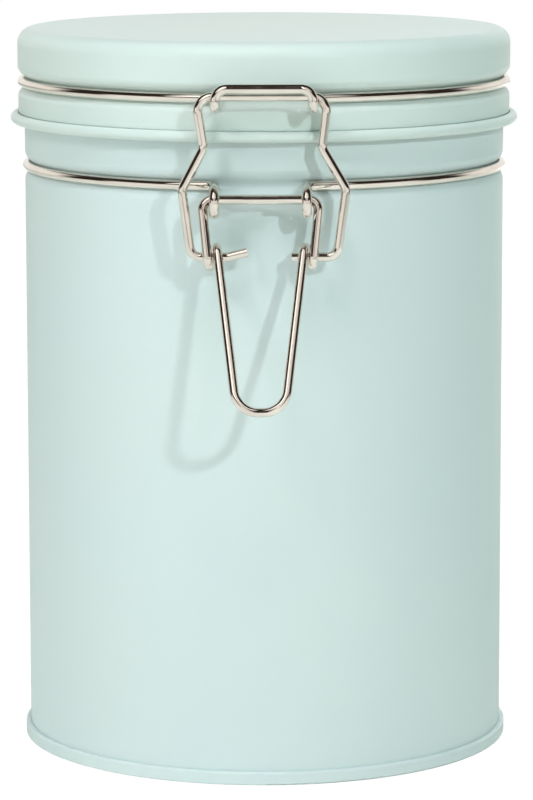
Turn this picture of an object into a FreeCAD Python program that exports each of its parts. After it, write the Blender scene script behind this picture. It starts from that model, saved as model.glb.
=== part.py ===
import FreeCAD, Part
import math
import os
import Sketcher
from FreeCAD import Placement, Rotation, Vector

# Clamp-lid coffee tin, in millimetres.
#
# The tin stands on Z = 0 with its axis on +Z. The clasp is at the front, on -Y,
# and the wire hinge is at the back, on +Y. X runs along the pivots of the wires.
# Angles are in degrees.

SIZES = (
    # name, value, what it is
    ("tin_radius", 48.0, "outside of the body wall"),
    ("sheet", 0.35, "tinplate of the body, lid and liner"),
    ("fit", 0.05, "gap between pieces that are pressed or seamed together"),
    ("loose", 0.1, "play of a wire in the eye or hook that holds it"),
    # bottom end
    ("seam_reach", 0.95, "double seam outside the body wall"),
    ("seam_height", 2.6, "top of the double seam"),
    ("seam_floor", 0.8, "metal of the seam under the body wall"),
    ("seam_round", 0.38, "rounded corners of the seam"),
    ("panel_lift", 3.0, "underside of the bottom panel above the table"),
    ("panel_inset", 0.4, "bottom panel's wall inside the body wall"),
    ("panel_bend", 0.3, "bend where the panel meets its wall"),
    # neck and rim of the body
    ("rim_height", 131.0, "top of the curled rim"),
    ("rim_curl", 1.5, "outer radius of the curled rim"),
    ("curl_turn", 300.0, "how far the sheet is curled round"),
    ("neck_drop", 14.6, "middle of the neck ring below the rim"),
    ("neck_lip", 2.5, "rounded lips of the neck groove"),
    # lid
    ("lid_rise", 12.7, "top of the lid above the rim"),
    ("lid_reach", 1.3, "side of the lid outside the body wall"),
    ("lid_round", 3.0, "rounded top edge of the lid"),
    ("skirt_reach", 1.2, "skirt of the lid outside the body wall"),
    ("lid_ring_rise", 2.1, "middle of the lid ring above the rim"),
    ("lid_upper_lip", 2.0, "rounded lip above the lid groove"),
    ("lid_lower_lip", 1.3, "rounded lip below the lid groove"),
    ("bead_drop", 5.1, "middle of the rolled bead below the rim"),
    ("bead_reach", 1.55, "rolled bead outside the skirt"),
    ("joggle", 0.23, "inward step of the skirt above the bead"),
    ("bead_turn", 290.0, "how far the bead is rolled"),
    # liner and gasket inside the lid
    ("gasket_height", 3.45, "thickness of the gasket"),
    ("liner_dish", 2.9, "depth of the liner's dish"),
    ("liner_bend", 0.6, "bends of the liner"),
    ("gasket_width", 2.35, "gasket from bore to edge"),
    ("gasket_gap", 0.15, "gasket's edge inside the lid's groove"),
    ("gasket_round", 0.5, "rounded corners of the gasket"),
    # wires
    ("ring_wire", 1.9, "wire of the lid ring and the neck ring"),
    ("clasp_wire", 1.8, "wire of the lever and the bail"),
    ("lid_ring_depth", 0.95, "lid ring's centre line inside the lid's side"),
    ("neck_ring_depth", 0.55, "neck ring's centre line inside the body wall"),
    ("ring_bend", 1.6, "bends where a ring leaves its groove"),
    # hinge
    ("hinge_reach", 2.6, "hinge axis outside the body wall"),
    ("hinge_eye_half", 12.0, "hinge eyes either side of the middle"),
    ("hinge_leg_half", 14.8, "legs of the lid ring either side of the middle"),
    ("hinge_stub_half", 9.9, "where the ends of the lid ring stop"),
    # hook of the lid ring
    ("hook_half", 9.2, "sides of the hook either side of the middle"),
    ("hook_pocket", 4.0, "bail's bar to the hook's bar"),
    ("hook_drop", 1.3, "hook's floor below the lid ring"),
    ("hook_rise", 2.3, "hook's bar above the lid ring"),
    ("hook_slope", 1.5, "run of the slope down to the hook's floor"),
    ("hook_toe", 1.3, "bend at the foot of the hook"),
    ("hook_slope_bend", 1.0, "bends either end of the slope to the floor"),
    # front eyes of the neck ring
    ("clasp_shift", -0.7, "middle of the lever beside the middle of the hook"),
    ("eye_inset", 2.4, "front eyes inside the lever's arms"),
    ("eye_height", 4.7, "top to bottom of an eye, between centre lines"),
    ("eye_reach", 7.25, "front of an eye outside the body wall"),
    ("bar_reach", 2.55, "middle bar outside the body wall"),
    ("bar_drop", 2.2, "middle bar below the neck ring"),
    # lever
    ("lever_stub_half", 3.3, "where the ends of the lever stop"),
    ("arm_half", 11.1, "top of the lever's arms either side of its middle"),
    ("arm_taper", 1.0, "arms nearer together at the coils than at the top"),
    ("arm_bend", 1.9, "bend between a stub and its arm"),
    ("arm_length", 10.95, "lever pivot down to the middle of the coils"),
    ("arm_inset", 0.2, "coils nearer to the tin than the lever pivot"),
    ("coil_play", 0.06, "play of the bail's ends in the coils"),
    ("coil_pitch", 2.1, "how far a coil moves in along its axis"),
    ("handle_lean", 24.0, "handle's lean away from the tin"),
    ("handle_length", 30.9, "coil to the end of the handle"),
    ("handle_tip_half", 4.5, "corners of the handle's end"),
    # bail
    ("bail_top_spread", 3.3, "corners of the bail's bar outside the hook"),
    ("bail_bar_gap", 0.4, "bail's bar before the hook's slope"),
    ("bail_waist_spread", 1.95, "waist of the bail outside the hook"),
    ("bail_waist", 20.6, "waist above the coils"),
    ("bail_hip_spread", 4.4, "hips of the bail outside the lever's arms"),
    ("bail_hip", 12.8, "hips above the coils"),
    ("bail_heel_spread", 2.7, "heels of the bail outside the lever's arms"),
    ("bail_skew", -0.45, "bail's bar beside the middle of its feet"),
    ("bail_corner", 2.7, "bends at the bail's bar"),
    ("bail_bend", 2.6, "bends at the waist and hips"),
    ("bail_heel_bend", 2.2, "bends at the heels"),
    ("bail_left_tail", 3.7, "left end of the bail past its kink"),
    ("bail_left_lift", 0.9, "how far the left end turns up"),
    ("bail_right_tail", 2.1, "right end of the bail past its coil"),
)

doc = FreeCAD.newDocument("coffee_tin")
sheet_object = doc.addObject("Spreadsheet::Sheet", "Sizes")
for row, (alias, number, note) in enumerate(SIZES, start=1):
    sheet_object.set("A%d" % row, alias)
    sheet_object.set("B%d" % row, str(number))
    sheet_object.set("C%d" % row, note)
    sheet_object.setAlias("B%d" % row, alias)
doc.recompute()


class Size:
    """A length with the formula that ties it to the sheet."""

    def __init__(self, value, formula):
        self.value = value
        self.formula = formula

    def joined(self, other, value, sign):
        text = other.formula if isinstance(other, Size) else repr(float(other))
        return Size(value, "(%s %s %s)" % (self.formula, sign, text))

    def __add__(self, other):
        return self.joined(other, self.value + number_of(other), "+")

    def __sub__(self, other):
        return self.joined(other, self.value - number_of(other), "-")

    def __mul__(self, other):
        return self.joined(other, self.value * number_of(other), "*")

    def __truediv__(self, other):
        return self.joined(other, self.value / number_of(other), "/")

    def __neg__(self):
        return Size(-self.value, "(0 - %s)" % self.formula)


def number_of(thing):
    return thing.value if isinstance(thing, Size) else float(thing)


def size(alias):
    return Size(float(sheet_object.get(alias)), "Sizes.%s" % alias)


def root(length):
    return Size(math.sqrt(length.value), "sqrt(%s)" % length.formula)


ZERO = Size(0.0, "0")
DIAGONAL = math.sqrt(2.0)


# ---------------------------------------------------------------- sketches

def new_body(label):
    body = doc.addObject("PartDesign::Body", label)
    body.Label = label
    return body


def origin_plane(body, role):
    return next(item for item in body.Origin.OriginFeatures if item.Role == role)


def new_sketch(body, name, role):
    sketch = body.newObject("Sketcher::SketchObject", name)
    sketch.AttachmentSupport = [(origin_plane(body, role), "")]
    sketch.MapMode = "FlatFace"
    return sketch


def bind(sketch, constraint, length):
    """Adds a constraint whose size follows a formula of the sheet."""
    index = sketch.addConstraint(constraint)
    if length.formula != "0":
        sketch.setExpression("Constraints[%d]" % index, length.formula)
    return index


def pin_point(sketch, element, position, across, up):
    bind(sketch, Sketcher.Constraint("DistanceX", element, position, across.value), across)
    bind(sketch, Sketcher.Constraint("DistanceY", element, position, up.value), up)


def bend_points(before, corner, after, radius):
    """Start, middle and end of the bend of that radius at a corner."""
    arriving = (corner - before).normalize()
    leaving = (after - corner).normalize()
    turn = arriving.getAngle(leaving)
    reach = radius * math.tan(turn / 2)
    start = corner - arriving * reach
    end = corner + leaving * reach
    inward = (leaving - arriving).normalize()
    middle = corner + inward * radius * (1 / math.cos(turn / 2) - 1)
    return start, middle, end


def draw_outline(sketch, corners, closed=True):
    """Straight runs between corners, with a tangent arc at each rounded corner.

    Each corner is (across, up, bend radius or None). The sharp corners stay in
    the sketch as construction points, and they hold the sizes.
    """
    count = len(corners)
    sharp = [Vector(across.value, up.value, 0) for across, up, _ in corners]
    last = count if closed else count - 1
    bends = {}
    for index, (_, _, radius) in enumerate(corners):
        ends_here = not closed and index in (0, count - 1)
        if radius is not None and not ends_here:
            before = sharp[index - 1]
            after = sharp[(index + 1) % count]
            bends[index] = bend_points(before, sharp[index], after, radius.value)
    runs = []
    for index in range(last):
        following = (index + 1) % count
        start = bends[index][2] if index in bends else sharp[index]
        end = bends[following][0] if following in bends else sharp[following]
        runs.append(sketch.addGeometry(Part.LineSegment(start, end), False))
    for index, (across, up, radius) in enumerate(corners):
        if index in bends:
            point = sketch.addGeometry(Part.Point(sharp[index]), True)
            pin_point(sketch, point, 1, across, up)
            arriving, leaving = runs[index - 1], runs[index % len(runs)]
            sketch.addConstraint(Sketcher.Constraint("PointOnObject", point, 1, arriving))
            sketch.addConstraint(Sketcher.Constraint("PointOnObject", point, 1, leaving))
            join_bend(sketch, arriving, leaving, bends[index], radius)
        elif closed or 0 < index < count - 1:
            arriving, leaving = runs[index - 1], runs[index % len(runs)]
            sketch.addConstraint(Sketcher.Constraint("Coincident", arriving, 2, leaving, 1))
            pin_point(sketch, leaving, 1, across, up)
        elif index == 0:
            pin_point(sketch, runs[0], 1, across, up)
        else:
            pin_point(sketch, runs[-1], 2, across, up)


def join_bend(sketch, arriving, leaving, points, radius):
    start, middle, end = points
    arc = sketch.addGeometry(Part.Arc(start, middle, end), False)
    # an arc is kept anticlockwise, so its ends may have changed places
    first = sketch.getPoint(arc, 1)
    forward = first.distanceToPoint(start) < first.distanceToPoint(end)
    near, far = (1, 2) if forward else (2, 1)
    sketch.addConstraint(Sketcher.Constraint("Tangent", arriving, 2, arc, near))
    sketch.addConstraint(Sketcher.Constraint("Tangent", arc, far, leaving, 1))
    bind(sketch, Sketcher.Constraint("Radius", arc, radius.value), radius)


def draw_curl(sketch, centre_across, centre_up, outer, thickness, start, turn):
    """Section of a rolled edge: a strip of sheet curled round a centre."""
    centre = Vector(centre_across.value, centre_up.value, 0)
    inner = outer - thickness
    first, last = math.radians(start), math.radians(start + turn.value)
    rims = []
    for radius in (outer, inner):
        circle = Part.Circle(centre, Vector(0, 0, 1), radius.value)
        arc = sketch.addGeometry(Part.ArcOfCircle(circle, first, last), False)
        pin_point(sketch, arc, 3, centre_across, centre_up)
        bind(sketch, Sketcher.Constraint("Radius", arc, radius.value), radius)
        rims.append(arc)
    for position in (1, 2):
        cap = sketch.addGeometry(
            Part.LineSegment(sketch.getPoint(rims[1], position), sketch.getPoint(rims[0], position)), False)
        sketch.addConstraint(Sketcher.Constraint("Coincident", cap, 1, rims[1], position))
        sketch.addConstraint(Sketcher.Constraint("Coincident", cap, 2, rims[0], position))
        sketch.addConstraint(Sketcher.Constraint("PointOnObject", rims[0], 3, cap))
        if position == 1:
            sketch.addConstraint(Sketcher.Constraint("Horizontal", cap))
        else:
            angle = Size(last, "(%r + %s) * 1deg" % (start, turn.formula))
            bind(sketch, Sketcher.Constraint("Angle", cap, last), angle)


def revolve(body, sketch, name):
    """Turns a half section, drawn on XZ, round the tin's axis."""
    turned = body.newObject("PartDesign::Revolution", name)
    turned.Profile = sketch
    turned.ReferenceAxis = (sketch, ["V_Axis"])
    turned.Angle = 360
    sketch.Visibility = False
    return turned


# ---------------------------------------------------------------- bent wire

class Wire:
    """A path of straight runs and tangent bends, built up as the wire is bent."""

    def __init__(self):
        self.edges = []
        self.corners = []

    def go(self, point, bend=None):
        """Next corner, with its bend radius; the path's ends have none."""
        self.corners.append((Vector(*point), bend))

    def settle(self):
        """Turns the corners so far into edges and starts a new stretch."""
        here = self.corners[0][0]
        for index in range(1, len(self.corners) - 1):
            corner, radius = self.corners[index]
            before, after = self.corners[index - 1][0], self.corners[index + 1][0]
            start, middle, end = bend_points(before, corner, after, radius)
            self.add_run(here, start)
            self.edges.append(Part.Arc(start, middle, end).toShape())
            here = end
        self.add_run(here, self.corners[-1][0])
        self.corners = []

    def add_run(self, start, end):
        if start.distanceToPoint(end) > 1e-6:
            self.edges.append(Part.LineSegment(start, end).toShape())

    def arc(self, start, middle, end):
        if self.corners:
            self.settle()
        self.edges.append(Part.Arc(start, middle, end).toShape())

    def follow(self, steps):
        """Takes steps of (corner, bend) for a run and (start, middle, end) for an arc."""
        for step in steps:
            if len(step) == 2:
                self.go(*step)
            else:
                self.arc(*step)

    def shape(self):
        if self.corners:
            self.settle()
        return Part.Wire(self.edges)


def drawn_wire(label, path, gauge):
    """A round wire of that gauge along a path."""
    spine = doc.addObject("Part::Feature", label + "_path")
    spine.Shape = path
    section = doc.addObject("Part::Circle", label + "_section")
    section.setExpression("Radius", (gauge / 2).formula)
    section.Radius = gauge.value / 2
    first = path.OrderedEdges[0]
    start = first.valueAt(first.FirstParameter)
    along = first.tangentAt(first.FirstParameter)
    if first.Orientation == "Reversed":
        start, along = first.valueAt(first.LastParameter), -first.tangentAt(first.LastParameter)
    section.Placement = Placement(start, Rotation(Vector(0, 0, 1), along))
    wire = doc.addObject("Part::Sweep", label)
    wire.Label = label
    wire.Sections = [section]
    wire.Spine = (spine, [])
    wire.Solid = True
    wire.Frenet = False
    return wire


def ring_exit(ring_radius, across, bend):
    """Where a ring leaves its groove to run straight out at a given X.

    Gives the end of the ring's arc, the middle of the bend and the start of the
    straight run, as (x, y) with y counted outward from the tin's axis.
    """
    side = math.copysign(1.0, across)
    centre_x = across + side * bend
    centre_y = math.sqrt((ring_radius + bend) ** 2 - centre_x ** 2)
    share = ring_radius / (ring_radius + bend)
    on_ring = (centre_x * share, centre_y * share)
    on_run = (across, centre_y)
    middle_x = on_ring[0] + on_run[0] - 2 * centre_x
    middle_y = on_ring[1] + on_run[1] - 2 * centre_y
    reach = bend / math.hypot(middle_x, middle_y)
    return on_ring, (centre_x + middle_x * reach, centre_y + middle_y * reach), on_run


# ---------------------------------------------------------------- shared sizes

sheet = size("sheet")
tin_radius = size("tin_radius")
ring_wire = size("ring_wire")
clasp_wire = size("clasp_wire")
rim_height = size("rim_height")
skirt_radius = tin_radius + size("skirt_reach")
lid_radius = tin_radius + size("lid_reach")
lid_ring_height = rim_height + size("lid_ring_rise")
neck_ring_height = rim_height - size("neck_drop")
lid_ring_radius = lid_radius - size("lid_ring_depth")
neck_ring_radius = tin_radius - size("neck_ring_depth")
groove_floor = ring_wire / 2 + size("fit")
curl_height = rim_height - size("rim_curl")
bead_inner = skirt_radius - sheet - size("joggle")
bead_curl = (skirt_radius + size("bead_reach") - bead_inner) / 2
bead_middle = bead_inner + bead_curl


def groove(wall_above, wall_below, height, ring_radius, lip_above, lip_below, inset=None):
    """Three corners of a rolled V groove that holds a ring wire, from the top down.

    Its flanks slope at 45 degrees. Its floor has the wire's own radius with a
    small fit. With an inset the corners are those of the sheet's inner face.
    """
    inset = ZERO if inset is None else inset
    root_radius = ring_radius - groove_floor * DIAGONAL
    above = wall_above - root_radius + inset * (DIAGONAL - 1)
    below = wall_below - root_radius + inset * (DIAGONAL - 1)
    return [
        (wall_above - inset, height + above, lip_above - inset),
        (root_radius - inset * DIAGONAL, height, groove_floor + inset),
        (wall_below - inset, height - below, lip_below - inset),
    ]


# ---------------------------------------------------------------- the tin's body

def make_tin_body():
    """Rolled wall with the neck groove, the inward curled rim and the seamed foot."""
    body = new_body("tin_body")
    lip = size("neck_lip")
    foot = size("seam_floor") + size("fit")
    outer = groove(tin_radius, tin_radius, neck_ring_height, neck_ring_radius, lip, lip)
    inner = groove(tin_radius, tin_radius, neck_ring_height, neck_ring_radius, lip, lip, sheet)
    corners = [(tin_radius, curl_height, None)] + outer + [(tin_radius, foot, None)]
    corners += [(tin_radius - sheet, foot, None)] + inner[::-1] + [(tin_radius - sheet, curl_height, None)]
    wall_sketch = new_sketch(body, "wall_section", "XZ_Plane")
    draw_outline(wall_sketch, corners)
    revolve(body, wall_sketch, "wall")
    curl_sketch = new_sketch(body, "rim_section", "XZ_Plane")
    curl = size("rim_curl")
    draw_curl(curl_sketch, tin_radius - curl, curl_height, curl, sheet, 0.0, size("curl_turn"))
    revolve(body, curl_sketch, "curled_rim")
    return body


def make_tin_bottom():
    """Pressed bottom end: recessed panel and the double seam round the wall's foot."""
    body = new_body("tin_bottom")
    outside = tin_radius + size("seam_reach")
    slot_outer = tin_radius + size("fit")
    slot_inner = tin_radius - sheet - size("fit")
    panel_wall = tin_radius - sheet - size("panel_inset")
    lift, top = size("panel_lift"), size("seam_height")
    corner, bend = size("seam_round"), size("panel_bend")
    corners = [
        (ZERO, lift, None),
        (panel_wall - size("fit"), lift, bend),
        (panel_wall - size("fit"), ZERO, corner),
        (outside, ZERO, corner),
        (outside, top, corner),
        (slot_outer, top, None),
        (slot_outer, size("seam_floor"), None),
        (slot_inner, size("seam_floor"), None),
        (slot_inner, lift + sheet, bend),
        (ZERO, lift + sheet, None),
    ]
    sketch = new_sketch(body, "end_section", "XZ_Plane")
    draw_outline(sketch, corners)
    revolve(body, sketch, "pressed_end")
    return body


# ---------------------------------------------------------------- the lid

def make_lid_shell():
    """Pressed lid with its ring groove, its skirt and the bead rolled outward."""
    body = new_body("lid_shell")
    top = rim_height + size("lid_rise")
    upper, lower = size("lid_upper_lip"), size("lid_lower_lip")
    outer = groove(lid_radius, skirt_radius, lid_ring_height, lid_ring_radius, upper, lower)
    inner = groove(lid_radius, skirt_radius, lid_ring_height, lid_ring_radius, upper, lower, sheet)
    bead_height = rim_height - size("bead_drop")
    joggle_top = bead_height + bead_curl
    joggle_foot = joggle_top - size("joggle")
    joggle_bend = size("joggle") * 1.5
    corners = [(ZERO, top, None), (lid_radius, top, size("lid_round"))] + outer
    corners += [
        (skirt_radius, joggle_top, joggle_bend),
        (bead_inner + sheet, joggle_foot, joggle_bend),
        (bead_inner + sheet, bead_height, None),
        (bead_inner, bead_height, None),
        (bead_inner, joggle_foot, joggle_bend),
        (skirt_radius - sheet, joggle_top, joggle_bend),
    ]
    corners += inner[::-1]
    corners += [(lid_radius - sheet, top - sheet, size("lid_round") - sheet), (ZERO, top - sheet, None)]
    sketch = new_sketch(body, "lid_section", "XZ_Plane")
    draw_outline(sketch, corners)
    revolve(body, sketch, "pressed_lid")
    bead_sketch = new_sketch(body, "bead_section", "XZ_Plane")
    draw_curl(bead_sketch, bead_middle, bead_height, bead_curl, sheet, 180.0, size("bead_turn"))
    revolve(body, bead_sketch, "rolled_bead")
    return body


gasket_outer = lid_ring_radius - groove_floor - sheet - size("gasket_gap")
gasket_inner = gasket_outer - size("gasket_width")
gasket_foot = rim_height + size("loose")
gasket_top = gasket_foot + size("gasket_height")
liner_seat = gasket_top + size("fit")


def make_lid_liner():
    """Shallow dish inside the lid that traps the gasket above the rim."""
    body = new_body("lid_liner")
    panel = liner_seat - size("liner_dish")
    dish = gasket_inner - size("fit")
    flank = lid_ring_radius - (groove_floor + sheet + size("fit")) * DIAGONAL
    flange = flank + liner_seat - lid_ring_height
    bend = size("liner_bend")
    corners = [
        (ZERO, panel, None),
        (dish, panel, bend),
        (dish, liner_seat, bend - sheet),
        (flange, liner_seat, None),
        (flange, liner_seat + sheet, None),
        (dish - sheet, liner_seat + sheet, bend),
        (dish - sheet, panel + sheet, bend - sheet),
        (ZERO, panel + sheet, None),
    ]
    sketch = new_sketch(body, "liner_section", "XZ_Plane")
    draw_outline(sketch, corners)
    revolve(body, sketch, "pressed_liner")
    return body


def make_lid_gasket():
    """Silicone ring between the liner's flange and the curled rim."""
    body = new_body("lid_gasket")
    corner = size("gasket_round")
    corners = [
        (gasket_inner, gasket_foot, corner),
        (gasket_outer, gasket_foot, corner),
        (gasket_outer, gasket_top, corner),
        (gasket_inner, gasket_top, corner),
    ]
    sketch = new_sketch(body, "gasket_section", "XZ_Plane")
    draw_outline(sketch, corners)
    revolve(body, sketch, "moulded_ring")
    return body


# ---------------------------------------------------------------- the ring wires

hinge_back = number_of(tin_radius + size("hinge_reach"))
hinge_eye_radius = number_of(ring_wire + size("loose"))
hinge_height = number_of(neck_ring_height) - hinge_eye_radius

hook_half = size("hook_half")
hook_drop = size("hook_drop")
hook_slope = size("hook_slope")
hook_outer = lid_ring_radius + size("ring_bend")
hook_centre = hook_half + size("ring_bend")
hook_run = root(hook_outer * hook_outer - hook_centre * hook_centre)
slope_length = root(hook_drop * hook_drop + hook_slope * hook_slope)
slope_reach = size("hook_slope_bend") * (slope_length - hook_slope) / hook_drop
hook_shoulder = hook_run + slope_reach + size("fit")
hook_floor_start = hook_shoulder + hook_slope
bail_bar_front = hook_floor_start + slope_reach + size("bail_bar_gap")
hook_front = bail_bar_front + size("hook_pocket")
lever_shift = number_of(size("clasp_shift"))
bar_front = tin_radius + size("bar_reach")


def backwards(steps):
    """The same steps of a wire, taken from their end to their start."""
    return [step if len(step) == 2 else step[::-1] for step in steps[::-1]]


def make_lid_ring():
    """Wire round the lid's groove: hook at the front, hinge legs at the back."""
    ring = number_of(lid_ring_radius)
    level = number_of(lid_ring_height)
    bend = number_of(size("ring_bend"))
    leg = number_of(size("hinge_leg_half"))
    stub = number_of(size("hinge_stub_half"))
    hook = number_of(hook_half)
    front = number_of(hook_front)
    floor = level - number_of(hook_drop)
    bar = level + number_of(size("hook_rise"))
    slope = number_of(size("hook_slope_bend"))
    toe = number_of(size("hook_toe"))
    corner = 0.95 * (bar - floor - toe)
    shoulder, floor_start = number_of(hook_shoulder), number_of(hook_floor_start)

    def side(sign):
        back_end, back_middle, back_run = ring_exit(ring, leg, bend)
        front_end, front_middle, front_run = ring_exit(ring, hook, bend)
        back = [Vector(sign * x, y, level) for x, y in (back_run, back_middle, back_end)]
        front_arc = [Vector(sign * x, -y, level) for x, y in (front_end, front_middle, front_run)]
        return [
            ((sign * stub, hinge_back, hinge_height), None),
            ((sign * leg, hinge_back, hinge_height), bend),
            ((sign * leg, hinge_back, level), bend),
            (back[0], None),
            tuple(back),
            (back[2], Vector(sign * ring, 0, level), front_arc[0]),
            tuple(front_arc),
            (front_arc[2], None),
            ((sign * hook, -shoulder, level), slope),
            ((sign * hook, -floor_start, floor), slope),
            ((sign * hook, -front, floor), toe),
            ((sign * hook, -front, bar), corner),
        ]

    wire = Wire()
    wire.follow(side(-1) + backwards(side(1)))
    return drawn_wire("lid_ring", wire.shape(), ring_wire)


def make_neck_ring():
    """Wire round the neck: two eyes and a middle bar at the front, hinge eyes at the back."""
    ring = number_of(neck_ring_radius)
    level = number_of(neck_ring_height)
    bend = number_of(size("ring_bend"))
    hinge_eye = number_of(size("hinge_eye_half"))
    eye = number_of(size("arm_half") - size("eye_inset"))
    eye_front = number_of(tin_radius + size("eye_reach"))
    eye_back = number_of(bar_front)
    eye_height, bar_drop = number_of(size("eye_height")), number_of(size("bar_drop"))
    eye_round = 0.98 * eye_height / 2
    tail = 0.92 * (eye_height - bar_drop) / 2
    reach = hinge_eye_radius
    hinge_round = 0.98 * reach
    eye_tip = level - number_of(ring_wire + size("loose") / 2)

    def side(sign):
        middle = lever_shift + sign * eye
        back_end, back_middle, back_run = ring_exit(ring, hinge_eye, bend)
        front_end, front_middle, front_run = ring_exit(ring, middle, bend)
        back = [Vector(sign * x, y, level) for x, y in (back_run, back_middle, back_end)]
        front_arc = [Vector(x, -y, level) for x, y in (front_end, front_middle, front_run)]
        return [
            ((sign * hinge_eye, hinge_back - reach, eye_tip), None),
            ((sign * hinge_eye, hinge_back - reach, hinge_height - reach), hinge_round),
            ((sign * hinge_eye, hinge_back + reach, hinge_height - reach), hinge_round),
            ((sign * hinge_eye, hinge_back + reach, level), hinge_round),
            (back[0], None),
            tuple(back),
            (back[2], Vector(sign * ring, 0, level), front_arc[0]),
            tuple(front_arc),
            (front_arc[2], None),
            ((middle, -eye_front, level), eye_round),
            ((middle, -eye_front, level - eye_height), eye_round),
            ((middle, -eye_back, level - eye_height), tail),
            ((middle, -eye_back, level - bar_drop), tail),
        ]

    wire = Wire()
    wire.follow(side(-1) + backwards(side(1)))
    return drawn_wire("neck_ring", wire.shape(), ring_wire)


# ---------------------------------------------------------------- the clasp

pivot_front = bar_front + ring_wire / 2 + clasp_wire / 2 + size("loose")
pivot_height = neck_ring_height - ring_wire / 2 - clasp_wire / 2 - size("loose")
coil_front = pivot_front - size("arm_inset")
coil_height = pivot_height - size("arm_length")
coil_middle = Vector(0, -coil_front.value, coil_height.value)
coil_radius = number_of(clasp_wire + size("coil_play"))
handle_half = size("arm_half") - size("arm_taper") - size("coil_pitch")


def coil_corners(x_start, x_end, first, total_turn):
    """Corners of one rounded turn about the coil's middle.

    The wire arrives down the front, passes under, up behind and over the top,
    and leaves down the front again, moving in along X as it turns.
    """
    sides = 4
    step = total_turn / sides
    corners = []
    for index in range(sides):
        normal = first + step * (index + 0.5)
        reach = coil_radius / math.cos(step / 2)
        x = x_start + (x_end - x_start) * (index + 0.5) / sides
        corner = coil_middle + Vector(0, -math.cos(normal), -math.sin(normal)) * reach
        corners.append(Vector(x, corner.y, corner.z))
    return corners


def make_lever():
    """One wire: stubs in the eyes, arms, a coil on each side and the V handle."""
    stub, arm = number_of(size("lever_stub_half")), number_of(size("arm_half"))
    foot, handle = arm - number_of(size("arm_taper")), number_of(handle_half)
    lean = math.radians(number_of(size("handle_lean")))
    length = number_of(size("handle_length"))
    tip = number_of(size("handle_tip_half"))
    inward, down = number_of(size("arm_inset")), number_of(size("arm_length"))
    pivot = Vector(0, -pivot_front.value, pivot_height.value)
    arm_lean = math.asin(coil_radius / math.hypot(inward, down)) - math.atan2(inward, down)
    turn = 2 * math.pi - (lean - arm_lean)
    coil = coil_corners(foot, handle, -arm_lean, turn)
    down_handle = Vector(0, -math.sin(lean), -math.cos(lean))
    outward = Vector(0, -math.cos(lean), math.sin(lean))
    end = coil_middle + outward * coil_radius + down_handle * length
    coil_bend = 0.97 * coil_radius
    half = [(pivot + Vector(stub, 0, 0), None)]
    half += [(pivot + Vector(arm, 0, 0), number_of(size("arm_bend")))]
    half += [(corner, coil_bend) for corner in coil]
    half += [(Vector(tip, end.y, end.z), 1.02 * tip)]
    wire = Wire()
    for corner, bend in half:
        wire.go((lever_shift - corner.x, corner.y, corner.z), bend)
    for corner, bend in half[::-1]:
        wire.go((lever_shift + corner.x, corner.y, corner.z), bend)
    return drawn_wire("lever", wire.shape(), clasp_wire)


def make_bail():
    """Flat vase-shaped wire from the lever's coils up to the hook."""
    body = new_body("bail")
    bar_height = lid_ring_height - hook_drop + ring_wire / 2 + clasp_wire / 2 + size("fit")
    rise = bar_height - coil_height
    recess = coil_front - bail_bar_front
    top = root(rise * rise + recess * recess)
    path = new_sketch(body, "bail_path", "XZ_Plane")
    heel_half = size("arm_half") + size("bail_heel_spread")
    hip_half = size("arm_half") + size("bail_hip_spread")
    waist_half = hook_half + size("bail_waist_spread")
    top_half = hook_half + size("bail_top_spread")
    skew = size("bail_skew")
    kink = size("clasp_shift") - handle_half + clasp_wire
    right_end = size("clasp_shift") + handle_half - size("bail_right_tail")
    heel_bend, bend = size("bail_heel_bend"), size("bail_bend")
    draw_outline(path, [
        (kink + size("bail_left_tail"), size("bail_left_lift"), None),
        (kink, ZERO, clasp_wire),
        (-heel_half, ZERO, heel_bend),
        (-hip_half, size("bail_hip"), bend),
        (skew / 2 - waist_half, size("bail_waist"), bend),
        (skew - top_half, top, size("bail_corner")),
        (skew + top_half, top, size("bail_corner")),
        (skew / 2 + waist_half, size("bail_waist"), bend),
        (hip_half, size("bail_hip"), bend),
        (heel_half, ZERO, heel_bend),
        (right_end, ZERO, None),
    ], closed=False)
    section = new_sketch(body, "bail_section", "YZ_Plane")
    section.setExpression("AttachmentOffset.Base.z", right_end.formula)
    circle = section.addGeometry(Part.Circle(Vector(0, 0, 0), Vector(0, 0, 1), clasp_wire.value / 2), False)
    section.addConstraint(Sketcher.Constraint("Coincident", circle, 3, -1, 1))
    bind(section, Sketcher.Constraint("Radius", circle, clasp_wire.value / 2), clasp_wire / 2)
    pipe = body.newObject("PartDesign::AdditivePipe", "bent_wire")
    pipe.Profile = section
    pipe.Spine = path
    tilt = math.degrees(math.atan2(number_of(recess), number_of(rise)))
    body.Placement = Placement(coil_middle, Rotation(Vector(1, 0, 0), -tilt))
    return body


# ---------------------------------------------------------------- build and write

subparts = [
    make_tin_body(),
    make_tin_bottom(),
    make_neck_ring(),
    make_lid_shell(),
    make_lid_liner(),
    make_lid_gasket(),
    make_lid_ring(),
    make_lever(),
    make_bail(),
]
doc.recompute()

failed = [item.Label for item in doc.Objects if "Invalid" in item.State or "Error" in item.State]
if failed:
    raise RuntimeError("objects that did not build: " + ", ".join(failed))
for part in subparts:
    if part.Shape.isNull() or not part.Shape.isValid() or len(part.Shape.Solids) != 1:
        raise RuntimeError(part.Label + " is not one valid solid")

os.makedirs("parts", exist_ok=True)
for part in subparts:
    part.Shape.exportStep("parts/%s.step" % part.Label)
    print("%-12s %9.1f mm3" % (part.Label, part.Shape.Volume))
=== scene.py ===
import math
from collections import namedtuple

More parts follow.
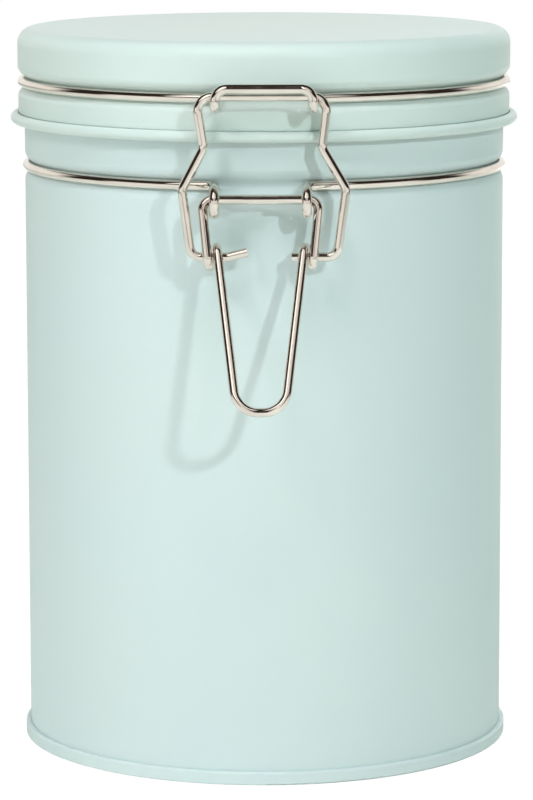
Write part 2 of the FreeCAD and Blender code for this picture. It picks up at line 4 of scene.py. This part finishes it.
import bpy
from mathutils import Euler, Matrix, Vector

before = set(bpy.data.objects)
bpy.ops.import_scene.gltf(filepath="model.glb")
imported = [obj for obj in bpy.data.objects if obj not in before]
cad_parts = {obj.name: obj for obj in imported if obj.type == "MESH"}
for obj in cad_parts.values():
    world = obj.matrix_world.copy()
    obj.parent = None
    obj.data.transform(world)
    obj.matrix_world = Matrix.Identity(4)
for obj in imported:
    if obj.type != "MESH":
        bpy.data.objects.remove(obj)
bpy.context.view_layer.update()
scene = bpy.context.scene


def top_of(node):
    """The height of a node's highest corner, in metres."""
    return max(vertex.co.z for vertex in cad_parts[node].data.vertices)


# ---------------------------------------------------------------- nodes

class Tree:
    """Adds and links the nodes of one node tree."""

    def __init__(self, tree):
        self.tree = tree
        tree.nodes.clear()

    def add(self, kind, **values):
        """A node; values are its properties, or its inputs as in_Name or in_0."""
        node = self.tree.nodes.new(kind)
        for key, value in values.items():
            if key.startswith("in_"):
                name = key[3:]
                place = int(name) if name.isdigit() else name.replace("_", " ")
                self.feed(node.inputs[place], value)
            else:
                setattr(node, key, value)
        return node

    def feed(self, socket, value):
        """Links an output to the socket, or sets a plain value on it."""
        if isinstance(value, bpy.types.NodeSocket):
            self.tree.links.new(value, socket)
        else:
            socket.default_value = value

    def math(self, operation, a, b=0.0):
        return self.add("ShaderNodeMath", operation=operation, in_0=a, in_1=b).outputs[0]

    def vector(self, operation, a, b=(0.0, 0.0, 0.0)):
        return self.add("ShaderNodeVectorMath", operation=operation, in_0=a, in_1=b)

    def spread(self, value, low, high, to_low=0.0, to_high=1.0):
        """Goes smoothly from to_low to to_high while value goes from low to high."""
        node = self.add("ShaderNodeMapRange", interpolation_type="SMOOTHSTEP", in_Value=value,
                        in_From_Min=low, in_From_Max=high, in_To_Min=to_low, in_To_Max=to_high)
        return node.outputs[0]

    def fade(self, value, low, high):
        """Goes smoothly from 1 to 0 while value goes from low to high."""
        return self.spread(value, low, high, 1.0, 0.0)

    def mix(self, factor, a, b):
        """The colour between a and b; a factor above 1 goes past b."""
        node = self.add("ShaderNodeMix", data_type="RGBA", clamp_factor=False,
                        in_Factor=factor, in_6=a, in_7=b)
        return node.outputs[2]

    def noise(self, where, scale, detail=2.0, roughness=0.5):
        node = self.add("ShaderNodeTexNoise", in_Vector=where, in_Scale=scale,
                        in_Detail=detail, in_Roughness=roughness)
        return node.outputs["Fac"]

    def bump(self, height, strength, distance, below=None):
        """A bumped normal, on top of another bump where below is given."""
        node = self.add("ShaderNodeBump", in_Height=height, in_Strength=strength, in_Distance=distance)
        if below is not None:
            self.feed(node.inputs["Normal"], below)
        return node.outputs[0]

    def blend(self, factor, first, second):
        """The shader between two others."""
        node = self.add("ShaderNodeMixShader", in_0=factor, in_1=first, in_2=second)
        return node.outputs[0]

    def surface(self, shader):
        self.add("ShaderNodeOutputMaterial", in_Surface=shader)


def new_material(name):
    material = bpy.data.materials.new(name)
    material.use_nodes = True
    return material, Tree(material.node_tree)


def color(r, g, b):
    return (r, g, b, 1.0)


WHITE = color(1.0, 1.0, 1.0)


# ---------------------------------------------------------------- materials

BODY_PAINT = (color(0.672, 0.785, 0.785), color(0.688, 0.787, 0.777))
LID_PAINT = (color(0.680, 0.79, 0.757), color(0.695, 0.792, 0.75))
PAINT_GRAIN = color(0.45, 0.58, 0.54)
BARE_PLATE = (color(0.66, 0.65, 0.61), color(0.80, 0.79, 0.75))
NICKEL = (color(0.79, 0.728, 0.665), color(0.85, 0.79, 0.73))
TINPLATE = (color(0.60, 0.60, 0.585), color(0.72, 0.715, 0.70))
SILICONE = (color(0.80, 0.80, 0.765), color(0.87, 0.87, 0.85))

BODY_ROUGHNESS = 0.45
LID_ROUGHNESS = 0.33
SMUDGE_ROUGHNESS = -0.07
CLOUD_ROUGHNESS = 0.04
GRAIN_SHARE = 0.05
PAINT_IOR = 1.46

# Lengths in metres. The weld's lap ends between its two half widths, and lies where y is above
# WELD_BEHIND.
SHEET = 0.00035
RIM_CURL = 0.0008
PANEL_RADIUS = 0.0475
LID_FLAT_RADIUS = 0.0455
WELD_HALF_WIDTH = (0.0011, 0.0015)
WELD_HEIGHT = 0.00035
WELD_BEHIND = 0.03

# What a mask can ask of a point: its distance from the axis, its height, and the parts of its
# normal that point outward from the axis and up.
Point = namedtuple("Point", "radius height outward upward")

# A face looks inward where its normal's outward part is less than INWARD, and up where the upward
# part is more than UPWARD, which is above 0 so that rounding can't reach it on an upright face.
INWARD = -0.3
UPWARD = 0.01


def paint_relief(tree, where, welded):
    """Fine orange peel, and on a welded wall the raised lap down its back."""
    peel = tree.noise(where, scale=900.0, detail=3.0, roughness=0.55)
    relief = tree.bump(peel, strength=0.10, distance=0.00006)
    if not welded:
        return relief
    place = tree.add("ShaderNodeSeparateXYZ", in_Vector=where)
    across = tree.math("ABSOLUTE", place.outputs["X"])
    behind = tree.math("GREATER_THAN", place.outputs["Y"], WELD_BEHIND)
    lap = tree.math("MULTIPLY", tree.fade(across, *WELD_HALF_WIDTH), behind)
    return tree.bump(lap, strength=1.0, distance=WELD_HEIGHT, below=relief)


def paint_coat(tree, where, paint, roughness, welded):
    """Matt paint, a little cloudy and smudged."""
    cloud = tree.spread(tree.noise(where, scale=26.0, detail=3.0), 0.3, 0.7)
    smudge = tree.spread(tree.noise(where, scale=55.0, detail=5.0, roughness=0.65), 0.52, 0.74)
    grain = tree.noise(where, scale=2600.0)
    base = tree.mix(tree.math("MULTIPLY", grain, GRAIN_SHARE), tree.mix(cloud, *paint), PAINT_GRAIN)
    rough = tree.math("ADD", roughness, tree.math("MULTIPLY", smudge, SMUDGE_ROUGHNESS))
    rough = tree.math("ADD", rough, tree.math("MULTIPLY", cloud, CLOUD_ROUGHNESS))
    coat = tree.add("ShaderNodeBsdfPrincipled", in_Base_Color=base, in_Roughness=rough,
                    in_IOR=PAINT_IOR, in_Normal=paint_relief(tree, where, welded))
    return coat.outputs[0]


def lacquered_plate(tree, where):
    """Lacquered tinplate with upright rolling streaks."""
    streak = tree.vector("MULTIPLY", where, (220.0, 220.0, 9.0))
    sheen = tree.noise(streak.outputs[0], scale=1.0, detail=4.0, roughness=0.6)
    plate = tree.add("ShaderNodeBsdfPrincipled", in_Base_Color=tree.mix(sheen, *BARE_PLATE),
                     in_Metallic=0.5, in_Roughness=tree.spread(sheen, 0.2, 0.8, 0.3, 0.46))
    return plate.outputs[0]


def surface_point(tree, where, normal):
    radial = tree.vector("MULTIPLY", where, (1.0, 1.0, 0.0)).outputs[0]
    away = tree.vector("NORMALIZE", radial).outputs[0]
    return Point(
        radius=tree.vector("LENGTH", radial).outputs["Value"],
        height=tree.add("ShaderNodeSeparateXYZ", in_Vector=where).outputs["Z"],
        outward=tree.vector("DOT_PRODUCT", away, normal).outputs["Value"],
        upward=tree.add("ShaderNodeSeparateXYZ", in_Vector=normal).outputs["Z"],
    )


def painted_tin(name, paint, roughness, inside, welded=False):
    """Mint paint outside, and lacquered tinplate where inside() gives 1."""
    material, tree = new_material(name)
    coordinates = tree.add("ShaderNodeTexCoord")
    where = coordinates.outputs["Object"]
    mask = inside(tree, surface_point(tree, where, coordinates.outputs["Normal"]))
    coat = paint_coat(tree, where, paint, roughness, welded)
    tree.surface(tree.blend(mask, coat, lacquered_plate(tree, where)))
    return material


def inside_body(tree, point):
    """The wall's inner face, below the curled rim."""
    inward = tree.math("LESS_THAN", point.outward, INWARD)
    below_rim = tree.math("LESS_THAN", point.height, top_of("tin_body") - RIM_CURL)
    return tree.math("MULTIPLY", inward, below_rim)


def inside_bottom(tree, point):
    """The panel's upper face, within the seam."""
    facing_up = tree.math("GREATER_THAN", point.upward, UPWARD)
    within = tree.math("LESS_THAN", point.radius, PANEL_RADIUS)
    return tree.math("MULTIPLY", facing_up, within)


def inside_lid(tree, point):
    """The skirt's inner face and the underside of the flat top."""
    under = tree.math("LESS_THAN", point.height, top_of("lid_shell") - SHEET / 2)
    inward = tree.math("LESS_THAN", point.outward, INWARD)
    flat = tree.math("LESS_THAN", point.radius, LID_FLAT_RADIUS)
    return tree.math("MULTIPLY", under, tree.math("MAXIMUM", inward, flat))


def plated_wire():
    """Polished nickel on drawn wire."""
    material, tree = new_material("plated_wire")
    where = tree.add("ShaderNodeTexCoord").outputs["Object"]
    cloud = tree.noise(where, scale=160.0, detail=3.0)
    drawn = tree.noise(where, scale=2200.0, detail=3.0, roughness=0.6)
    metal = tree.add("ShaderNodeBsdfPrincipled", in_Metallic=1.0,
                     in_Base_Color=tree.mix(tree.spread(cloud, 0.3, 0.7), *NICKEL),
                     in_Roughness=tree.spread(cloud, 0.25, 0.75, 0.05, 0.10),
                     in_Normal=tree.bump(drawn, strength=0.06, distance=0.00003))
    tree.surface(metal.outputs[0])
    return material


def tinplate():
    """Satin tinplate, rolled one way."""
    material, tree = new_material("bare_tinplate")
    where = tree.add("ShaderNodeTexCoord").outputs["Object"]
    rolled = tree.vector("MULTIPLY", where, (1500.0, 14.0, 1500.0))
    grain = tree.noise(rolled.outputs[0], scale=1.0, detail=4.0, roughness=0.6)
    cloud = tree.noise(where, scale=40.0, detail=3.0)
    metal = tree.add("ShaderNodeBsdfPrincipled", in_Metallic=1.0,
                     in_Base_Color=tree.mix(cloud, *TINPLATE),
                     in_Roughness=tree.spread(grain, 0.25, 0.75, 0.26, 0.42),
                     in_Normal=tree.bump(grain, strength=0.08, distance=0.00004))
    tree.surface(metal.outputs[0])
    return material


def silicone():
    """Milky silicone rubber."""
    material, tree = new_material("silicone")
    where = tree.add("ShaderNodeTexCoord").outputs["Object"]
    cloud = tree.noise(where, scale=90.0, detail=3.0)
    skin = tree.noise(where, scale=1400.0)
    rubber = tree.add("ShaderNodeBsdfPrincipled", in_Base_Color=tree.mix(cloud, *SILICONE),
                      in_Roughness=0.46, in_Subsurface_Weight=0.35,
                      in_Subsurface_Radius=(0.002, 0.002, 0.0018),
                      in_Normal=tree.bump(skin, strength=0.1, distance=0.00005))
    tree.surface(rubber.outputs[0])
    return material


wire = plated_wire()
finishes = {
    "tin_body": painted_tin("painted_body", BODY_PAINT, BODY_ROUGHNESS, inside_body, welded=True),
    "tin_bottom": painted_tin("painted_bottom", BODY_PAINT, BODY_ROUGHNESS, inside_bottom),
    "lid_shell": painted_tin("painted_lid", LID_PAINT, LID_ROUGHNESS, inside_lid),
    "lid_liner": tinplate(),
    "lid_gasket": silicone(),
    "neck_ring": wire,
    "lid_ring": wire,
    "lever": wire,
    "bail": wire,
}
for node_name, finish in finishes.items():
    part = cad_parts[node_name]
    part.data.materials.clear()
    part.data.materials.append(finish)


# ---------------------------------------------------------------- floor

FLOOR_REACH = 1.6
SQUARE = ((-1, -1), (1, -1), (1, 1), (-1, 1))
FLOOR_COLOR = color(0.95, 0.92, 0.88)
FLOOR_GLOW = 1.06
FLOOR_GLOW_SHARE = 0.93


def floor_material():
    """Matt, and close to white where the camera sees it, so that it keeps the tin's shadow."""
    material, tree = new_material("floor")
    seen = tree.add("ShaderNodeLightPath").outputs["Is Camera Ray"]
    white = tree.add("ShaderNodeEmission", in_Color=WHITE, in_Strength=FLOOR_GLOW)
    matt = tree.add("ShaderNodeBsdfDiffuse", in_Color=FLOOR_COLOR)
    share = tree.math("MULTIPLY", seen, FLOOR_GLOW_SHARE)
    tree.surface(tree.blend(share, matt.outputs[0], white.outputs[0]))
    return material


def make_floor():
    corners = [(x * FLOOR_REACH, y * FLOOR_REACH, 0.0) for x, y in SQUARE]
    mesh = bpy.data.meshes.new("floor")
    mesh.from_pydata(corners, [], [(0, 1, 2, 3)])
    mesh.materials.append(floor_material())
    plane = bpy.data.objects.new("floor", mesh)
    scene.collection.objects.link(plane)


make_floor()


# ---------------------------------------------------------------- world

# Directions in this room are given by their front part (towards -Y), by their height (the upward
# part, both of a direction of length 1) and by their bearing (x over the front part).
# Each panel: bearing from and to, height from and to, and level.
SOFTBOXES = (
    (-1.20, -0.11, 0.44, 0.93, 1.60),  # high on the left
    (0.24, 1.05, 0.44, 0.86, 0.75),  # high on the right
    (0.10, 0.24, 0.44, 0.94, 2.40),  # bright strip right of the middle
    (-0.42, -0.11, 0.10, 0.44, 0.95),  # low on the left
    (0.11, 0.42, 0.10, 0.44, 0.95),  # low on the right
)
# Half widths of the panels' soft edges.
NEAR_EDGE, FAR_EDGE = 0.03, 0.1
LOW_EDGE, HIGH_EDGE = 0.03, 0.04
# The panels are seen only in directions with more front part than this.
LEAST_FRONT = 0.05

# The front parts and heights between which the low wall in front and the pale sweep behind fade.
WALL_FRONT, WALL_TOP = (0.1, 0.3), (0.10, 0.20)
SWEEP_FRONT, SWEEP_TOP = (-0.5, -0.2), (0.35, 0.6)

DARK_ROOM = color(0.030, 0.021, 0.018)
BRIGHT_ROOM = color(0.93, 0.90, 0.86)
SHADOW_FILL = color(0.085, 0.175, 0.145)


def make_world():
    """White to the camera, a faint fill to matt surfaces, and a room of soft panels to glossy ones."""
    scene.world = bpy.data.worlds.new("studio")
    scene.world.use_nodes = True
    sky = Tree(scene.world.node_tree)
    path = sky.add("ShaderNodeLightPath")
    toward = sky.add("ShaderNodeTexCoord").outputs["Generated"]
    direction = sky.add("ShaderNodeSeparateXYZ", in_Vector=toward)
    height = direction.outputs["Z"]
    front = sky.math("MULTIPLY", direction.outputs["Y"], -1.0)
    forward = sky.math("GREATER_THAN", front, LEAST_FRONT)
    bearing = sky.math("DIVIDE", direction.outputs["X"], sky.math("MAXIMUM", front, LEAST_FRONT))

    def band(value, low, high, low_edge, high_edge):
        rise = sky.spread(value, low - low_edge, low + low_edge)
        return sky.math("MULTIPLY", rise, sky.fade(value, high - high_edge, high + high_edge))

    def softbox(near, far, low, high, level):
        across = band(bearing, near, far, NEAR_EDGE, FAR_EDGE)
        along = band(height, low, high, LOW_EDGE, HIGH_EDGE)
        seen = sky.math("MULTIPLY", sky.math("MULTIPLY", across, along), forward)
        return sky.math("MULTIPLY", seen, level)

    wall = sky.math("MULTIPLY", sky.spread(front, *WALL_FRONT), sky.fade(height, *WALL_TOP))
    sweep = sky.math("MULTIPLY", sky.fade(front, *SWEEP_FRONT), sky.fade(height, *SWEEP_TOP))
    lit = sky.math("MAXIMUM", wall, sweep)
    for box in SOFTBOXES:
        lit = sky.math("MAXIMUM", lit, softbox(*box))

    room = sky.mix(lit, DARK_ROOM, BRIGHT_ROOM)
    fill = sky.mix(path.outputs["Is Camera Ray"], SHADOW_FILL, WHITE)
    shown = sky.mix(path.outputs["Is Glossy Ray"], fill, room)
    background = sky.add("ShaderNodeBackground", in_Color=shown, in_Strength=1.0)
    sky.add("ShaderNodeOutputWorld", in_Surface=background.outputs[0])


make_world()


# ---------------------------------------------------------------- lamps

CLASP = (0.0, -0.05, 0.10)
LID = (0.0, 0.0, 0.14)
BACK = (0.0, 0.05, 0.08)


def lamp(name, place, target, size, watts, tint=(1.0, 1.0, 1.0)):
    """A square lamp that glossy surfaces don't mirror."""
    light = bpy.data.lights.new(name, "AREA")
    light.size = size
    light.energy = watts
    light.color = tint
    lamp_object = bpy.data.objects.new(name, light)
    lamp_object.location = place
    lamp_object.rotation_euler = (Vector(target) - Vector(place)).to_track_quat("-Z", "Y").to_euler()
    lamp_object.visible_glossy = False
    scene.collection.objects.link(lamp_object)


# Name, place, target, size in metres, watts and tint.
lamp("key_right", (0.30, -0.58, 0.42), CLASP, 0.03, 1.36, (0.90, 0.99, 1.02))
lamp("top_front", (0.0, -0.50, 1.10), CLASP, 0.40, 4.0, (1.02, 0.95, 1.0))
lamp("left_high", (-0.55, -0.60, 0.85), CLASP, 0.30, 2.75, (1.0, 0.94, 0.97))
lamp("fill_left", (-0.95, -0.60, 0.25), CLASP, 0.60, 2.75)
lamp("overhead", (0.0, 0.0, 1.25), LID, 0.8, 1.9, (1.04, 0.96, 1.0))
lamp("rear", (0.35, 1.05, 0.38), BACK, 0.7, 8.0)


# ---------------------------------------------------------------- camera

EYE = (0.0, -0.8, 0.1944)
# Degrees: down from level, about the line of sight, and about the upright.
LOOK_DOWN, TILT, TURN = 8.985, 0.1, -0.045

camera = bpy.data.cameras.new("camera")
camera.sensor_fit = "VERTICAL"
camera.sensor_height = 36.0
camera.lens = 179.4
camera.clip_start = 0.01
view = bpy.data.objects.new("camera", camera)
view.location = EYE
view.rotation_mode = "XYZ"
view.rotation_euler = Euler([math.radians(angle) for angle in (90 - LOOK_DOWN, TILT, TURN)], "XYZ")
scene.collection.objects.link(view)
scene.camera = view

scene.view_settings.view_transform = "Standard"
